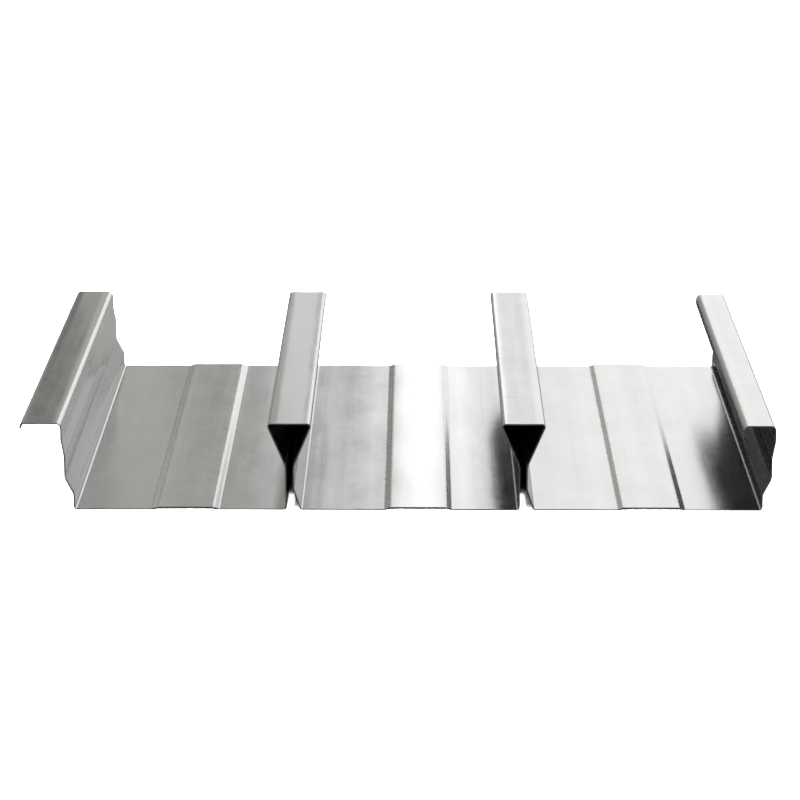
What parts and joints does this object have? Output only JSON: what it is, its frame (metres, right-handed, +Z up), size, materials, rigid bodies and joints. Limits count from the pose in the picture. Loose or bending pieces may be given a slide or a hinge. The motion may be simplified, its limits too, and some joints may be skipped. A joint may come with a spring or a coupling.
{
  "type": "steel floor decking sheet",
  "caption": "Roll-formed galvanised steel floor decking sheet with stiffened flat pans, closed dovetail ribs and lapping edges, to carry and bond with a concrete slab.",
  "frame": {"origin": "middle of the outline box, at the level of the pans' underside", "axes": "+X across the ribs from the over-lapping edge to the under-lapping edge, +Y along the ribs, +Z up"},
  "size_m": [0.5386, 0.37, 0.065],
  "materials": {
    "galvanised_steel": "satin zinc coating, faint lengthwise rolling streaks"
  },
  "bodies": {
    "root": {"deck_sheet": "galvanised_steel"}
  },
  "joints": []
}
